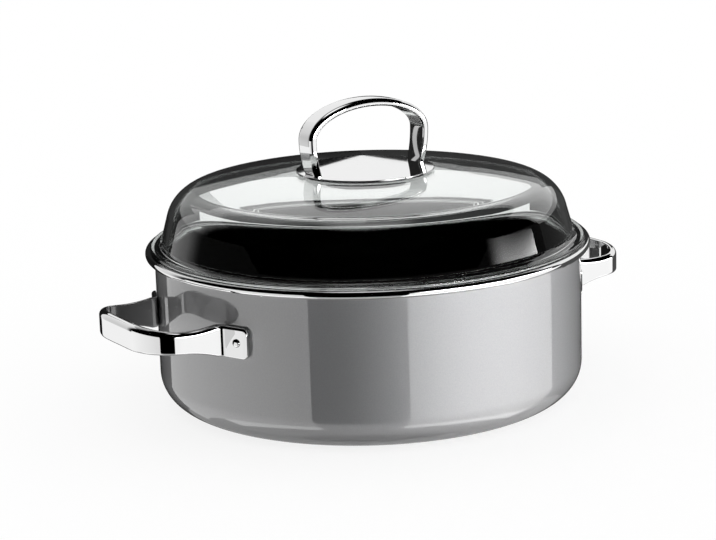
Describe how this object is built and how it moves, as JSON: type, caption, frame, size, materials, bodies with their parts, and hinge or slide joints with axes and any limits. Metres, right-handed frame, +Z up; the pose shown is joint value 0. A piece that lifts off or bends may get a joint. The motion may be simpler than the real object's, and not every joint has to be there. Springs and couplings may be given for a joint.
{
  "type": "braising pot",
  "caption": "Round enamelled steel braising pot with a polished rim, bent strap handles fixed to its wall by studs and a domed glass lid that lifts off by a steel bow.",
  "frame": {"origin": "centre of the base, on the surface that the pot stands on", "axes": "+Z up, +X through the middle of the right side handle; the bow on the lid spans X too"},
  "size_m": [0.375, 0.2962, 0.2007],
  "materials": {
    "enamel": "silver-grey semi-gloss enamel outside, glossy black enamel inside",
    "polished_steel": "mirror-polished stainless steel",
    "clear_glass": "clear tempered glass",
    "silicone": "dark matt silicone"
  },
  "bodies": {
    "pot": {"pot_body": "enamel", "rim_ring": "polished_steel", "right_handle": "polished_steel", "right_front_stud": "polished_steel", "right_rear_stud": "polished_steel", "left_handle": "polished_steel", "left_front_stud": "polished_steel", "left_rear_stud": "polished_steel"},
    "lid": {"glass_lid": "clear_glass", "plate_gasket": "silicone", "lid_plate": "polished_steel", "lid_handle": "polished_steel", "inner_gasket": "silicone", "inner_washer": "polished_steel", "lid_screw": "polished_steel"}
  },
  "joints": [
    {"name": "lid_lift", "type": "slide", "parent": "pot", "child": "lid", "axis": [0, 0, 1], "range_m": [0, 0.12]}
  ]
}
